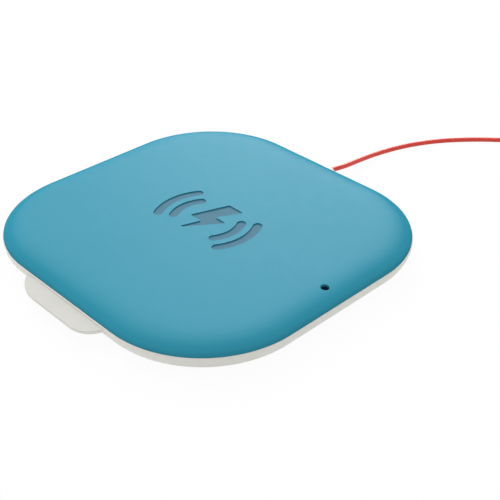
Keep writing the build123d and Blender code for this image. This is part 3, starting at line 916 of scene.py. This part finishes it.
def floor_stands():
    """Ribs under the ferrite, posts under the board and walls beside the plug, sunk a bit in the floor."""
    floor = base_low.z + base_floor
    sunk = floor - base_floor / 2
    rib_width, rib_depth, rib_height = floor_rib
    rib_places = [(-floor_rib_reach, 0), (floor_rib_reach, 0), (0, -floor_rib_reach), (0, 0)]
    stands = [block(place, rib_width, rib_depth, sunk, floor + rib_height) for place in rib_places]
    stands += [block(place, post_size, post_size, sunk, floor + post_height) for place in post_places]
    for side in (-1, 1):
        near, far = sorted((side * pocket_half, side * (pocket_half + pocket_rib)))
        stands.append(box_shape((near, socket_mouth_y, sunk), (far, half_depth - base_wall / 2, seam_z)))
    return joined(stands)


def base_shell():
    """Base with a rounded lower edge, the tab, the plug's way in and a sunk place for the grip."""
    made = new_object("base_moulding", loop_skin([pad_loop(inset, z) for inset, z in base_section()]))
    carve(made, tab_shape(), "UNION")
    carve(made, floor_stands(), "UNION")
    catch_low, catch_high = cover_low.z - fit_gap, cover_low.z + hook_height + fit_gap
    catch_width = hook_width + 2 * fit_gap
    carve(made, side_blocks(base_wall - hook_reach, lip_out, catch_width, catch_low, catch_high))
    pocket_low = (-pocket_half, socket_mouth_y, plug_low.z - pocket_floor_gap)
    pocket_high = (pocket_half, half_depth + cut_past, seam_z + cut_past)
    carve(made, box_shape(pocket_low, pocket_high))
    carve(made, prism(grip_outline(grip_gap), base_low.z - cut_past, grip_high.z))
    dressed(made, "pad", [ivory_material, tab_painted_shade_material], ["base_shell"])
    # The tab's upper faces take the darkened ivory, which is painted shade
    for face in made.data.polygons:
        on_tab = face.center.y < -half_depth - tab_edge
        faces_up = face.normal.z > tab_upward
        face.material_index = 1 if on_tab and faces_up else 0
    return made


def grip_pad():
    """Soft sheet set in the underside."""
    made = new_object("grip_mat", slab(grip_outline(0), grip_low.z, grip_high.z, grip_edge))
    return dressed(made, "pad", [rubber_material], ["grip_pad"])


def light_pipe():
    """Pin with a domed top under the hole in the cover, on a flange under the ceiling, smoked and darkened
    nearly to black without gloss as painted shade down the hole.
    """
    stem = light_radius - lens_gap
    wide = pipe_high.x - light_place[0]
    ceiling = cover_high.z - cover_wall
    flange_z = ceiling - lens_flange
    profile = [(stem, pipe_low.z), (stem, flange_z), (wide, flange_z), (wide, ceiling), (stem, ceiling)]
    for step in range(edge_steps + 1):
        turn = math.pi / 2 * step / (edge_steps + 1)
        profile.append((stem * math.cos(turn), pipe_high.z - lens_dome * (1 - math.sin(turn))))
    made = new_object("light_lens", lathe(profile, light_place))
    return dressed(made, "pad", [lens_material], ["light_pipe"])


# Plug in the pad

def grooved(start, step, count, width, height, corner, depth):
    """Sections of a bar with square grooves round it."""
    sections = []
    for groove in range(count):
        y = start + groove * step
        for offset, cut in groove_profile:
            less = 2 * depth * cut
            sections.append((y + offset * step, width - less, height - less, corner))
    return sections


def soft_end(y, inwards, width, height, corner, edge):
    """Sections of a bar's end with its edge rounded in two steps, from the end inwards."""
    first = edge_share * edge
    return [
        (y, width - 2 * edge, height - 2 * edge, corner - edge),
        (y + inwards * first, width - 2 * first, height - 2 * first, corner),
        (y + inwards * edge, width, height, corner),
    ]


def round_end(y, inwards, width, height, corner, radius):
    """Sections of a bar's end with its edge fully rounded, from the end inwards."""
    sections = []
    for step in range(edge_steps + 1):
        turn = math.pi / 2 * step / edge_steps
        less = 2 * radius * (1 - math.sin(turn))
        depth = radius * (1 - math.cos(turn))
        sections.append((y + inwards * depth, width - less, height - less, corner))
    return sections


def plug_moulding():
    """Flat grip with shallow grooves, and a tail that the cord leaves."""
    width, height = plug_high.x - plug_low.x, plug_high.z - plug_low.z
    z = (plug_low.z + plug_high.z) / 2
    front, back, end = plug_low.y, plug_shoulder_y, plug_high.y
    grooves_start = (front + back) / 2 - groove_step * groove_count / 2
    sections = soft_end(front, 1, width, height, plug_corner, plug_edge)
    sections += grooved(grooves_start, groove_step, groove_count, width, height, plug_corner, groove_depth)
    sections += reversed(soft_end(back, -1, width, height, plug_corner, plug_edge))
    sections += [
        (back, *plug_tail_root, plug_corner),
        (end - plug_edge, *plug_tail_end, plug_corner),
        (end, plug_tail_end[0] - plug_edge, plug_tail_end[1] - plug_edge, plug_corner),
    ]
    made = new_object("plug_grip", bar(sections, 0, z))
    return dressed(made, "charge_lead", [plug_material], ["plug_moulding"])


def sleeve(name, low, high, wall, corner):
    """Thin metal sleeve along Y with its nose rounded over, open at both ends."""
    width, height = high.x - low.x, high.z - low.z
    first = edge_share * sleeve_nose

    def ring(y, inset):
        return y, width - 2 * inset, height - 2 * inset, corner - inset

    sections = [
        ring(high.y, 0), ring(low.y + sleeve_nose, 0), ring(low.y + first, first), ring(low.y, sleeve_nose),
        ring(low.y, wall - sleeve_nose_inner), ring(low.y + sleeve_nose_inner, wall), ring(high.y, wall),
    ]
    shape = bar(sections, (low.x + high.x) / 2, (low.z + high.z) / 2, capped=False, steps=sleeve_steps)
    return new_object(name, shape)


def plug_shell():
    """Rounded metal sleeve of the plug."""
    corner = (sleeve_high.z - sleeve_low.z) / 2
    made = sleeve("plug_sleeve", sleeve_low, sleeve_high, sleeve_wall, corner)
    return dressed(made, "charge_lead", [steel_material], ["plug_shell"])


# Power plug

def power_moulding():
    """Grip with rounded edges and thumb grooves, and a ringed relief that the cord enters."""
    width, height = power_high.x - power_low.x, power_high.z - power_low.z
    x, z = (power_low.x + power_high.x) / 2, (power_low.z + power_high.z) / 2
    face, entry = power_low.y, power_high.y
    back = entry - relief_length
    grooves_start = back - thumb_groove_step * thumb_groove_count - thumb_groove_margin
    sections = round_end(face, 1, width, height, power_corner, power_end_round)
    sections += grooved(
        grooves_start, thumb_groove_step, thumb_groove_count,
        width, height, power_corner, thumb_groove_depth,
    )
    sections += reversed(round_end(back, -1, width, height, power_corner, power_end_round))
    for ring in range(relief_rings):
        for part, cut in relief_profile:
            share = (ring + part) / relief_rings
            less = 2 * relief_groove * cut * (1 - share)
            sizes = [root + (end - root) * share - less for root, end in zip(relief_root, relief_end)]
            sections.append((back + relief_length * share, *sizes, power_corner))
    sections.append((entry, *relief_end, power_corner))
    made = new_object("power_grip", bar(sections, x, z))
    return dressed(made, "charge_lead", [plug_material], ["power_moulding"])


def power_shell():
    """Folded metal sleeve of the power plug, with two windows above and two below."""
    made = sleeve("power_sleeve", tip_low, tip_high, tip_wall, tip_corner)
    x = (tip_low.x + tip_high.x) / 2
    y = tip_low.y + window_back
    for side in (-1, 1):
        middle = x + side * window_spacing / 2
        low = (middle - window_size[0] / 2, y - window_size[1] / 2, tip_low.z - cut_past)
        high = (middle + window_size[0] / 2, y + window_size[1] / 2, tip_high.z + cut_past)
        carve(made, box_shape(low, high))
    return dressed(made, "charge_lead", [steel_material], ["power_shell"])


# Finish of the solids that stay

def paint(nodes, material):
    """Gives solids that stay a finish."""
    for node in nodes:
        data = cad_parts[node].data
        data.materials.clear()
        data.materials.append(material)


def paint_inside():
    """Finishes of the parts inside the pad and inside the plugs."""
    enamel = metal("enamelled_copper", copper, roughness=0.34, stretch=even_lines, scratch=0.4 * MM)
    paint(["charging_coil", "coil_leads"], enamel)
    tape = moulded("tape_amber", tape_amber, roughness=0.5, grain=0.5 * MM, depth=0.02 * MM)
    paint(["coil_tape"], tape)
    ferrite = moulded(
        "ferrite_grey", ferrite_grey, roughness=0.7, grain=0.3 * MM, depth=0.03 * MM, spread=0.2,
    )
    paint(["ferrite_shield"], ferrite)
    paint(["circuit_board"], lacquered_board("board_green", board_green, track=2.6 * MM))
    chip = moulded("chip_black", chip_black, roughness=0.55, grain=0.1 * MM, depth=0.01 * MM)
    paint(["controller_chip", "bridge_transistors"], chip)
    fired = moulded(
        "capacitor_tan", capacitor_tan, roughness=0.45, grain=0.3 * MM, depth=0.01 * MM, spread=0.1,
    )
    paint(["resonant_capacitors", "filter_capacitors"], fired)
    choke = moulded(
        "choke_grey", choke_grey, roughness=0.6, grain=0.2 * MM, depth=0.02 * MM, spread=0.15,
    )
    paint(["supply_inductor"], choke)
    light = moulded("led_white", led_white, roughness=0.2, grain=0.3 * MM, depth=0.002 * MM)
    paint(["status_led"], light)
    paint(["socket_shell"], steel_material)
    insert = moulded("insert_black", chip_black, roughness=0.5, grain=0.15 * MM, depth=0.01 * MM)
    paint(["socket_tongue", "plug_insert"], insert)
    tongue = moulded("insert_white", insert_white, roughness=0.45, grain=0.2 * MM, depth=0.005 * MM)
    paint(["power_tongue"], tongue)
    paint(["power_contacts"], metal("plated_gold", gold, roughness=0.2, stretch=drawn_lines))


# Light and floor

def area_light(name, place, size, power):
    """Soft square lamp turned towards the pad."""
    data = bpy.data.lights.new(name, "AREA")
    data.size = size
    data.energy = power
    made = bpy.data.objects.new(name, data)
    made.location = place
    made.rotation_euler = (-Vector(place)).to_track_quat("-Z", "Y").to_euler()
    scene.collection.objects.link(made)


def seen_directly(tree):
    """One for rays from the camera, off gloss or through glass, and nought for the rest."""
    path = tree.nodes.new("ShaderNodeLightPath")
    seen = path.outputs["Is Camera Ray"]
    for name in ("Is Glossy Ray", "Is Transmission Ray"):
        seen = combined(tree, "MAXIMUM", seen, path.outputs[name])
    return seen


def add_world():
    """Even white surroundings, plain white where they are seen directly."""
    world = bpy.data.worlds.new("studio")
    scene.world = world
    world.use_nodes = True
    tree = world.node_tree
    tree.nodes.clear()
    mix = tree.nodes.new("ShaderNodeMixShader")
    tree.links.new(seen_directly(tree), mix.inputs["Fac"])
    for socket, level in ((1, sky_strength), (2, 1.0)):
        sky = tree.nodes.new("ShaderNodeBackground")
        sky.inputs["Color"].default_value = (1, 1, 1, 1)
        sky.inputs["Strength"].default_value = level
        tree.links.new(sky.outputs["Background"], mix.inputs[socket])
    out = tree.nodes.new("ShaderNodeOutputWorld")
    tree.links.new(mix.outputs["Shader"], out.inputs["Surface"])


def add_floor():
    """Pale floor that looks white and keeps a soft shadow."""
    half = floor_half
    corners = [(-half, -half, 0), (half, -half, 0), (half, half, 0), (-half, half, 0)]
    made = new_object("floor", (corners, [(0, 1, 2, 3)]))
    material = bpy.data.materials.new("floor_white")
    material.use_nodes = True
    tree = material.node_tree
    shader = tree.nodes["Principled BSDF"]
    shader.inputs["Base Color"].default_value = (floor_grey, floor_grey, floor_grey, 1)
    shader.inputs["Roughness"].default_value = floor_roughness
    shader.inputs["Specular IOR Level"].default_value = 0.0
    glow = tree.nodes.new("ShaderNodeEmission")
    share = tree.nodes.new("ShaderNodeMath")
    share.operation = "MULTIPLY"
    share.inputs[1].default_value = floor_white_share
    tree.links.new(seen_directly(tree), share.inputs[0])
    mix = tree.nodes.new("ShaderNodeMixShader")
    tree.links.new(share.outputs["Value"], mix.inputs["Fac"])
    tree.links.new(shader.outputs["BSDF"], mix.inputs[1])
    tree.links.new(glow.outputs["Emission"], mix.inputs[2])
    tree.links.new(mix.outputs["Shader"], tree.nodes["Material Output"].inputs["Surface"])
    made.data.materials.append(material)


# The whole scene

add_camera()
lead = lead_cord()
tie = cord_tie()
top_cover()
base_shell()
grip_pad()
light_pipe()
plug_moulding()
plug_shell()
power_grip = power_moulding()
power_sleeve = power_shell()
paint_inside()
add_world()
for lamp in lamps:
    area_light(*lamp)
add_floor()
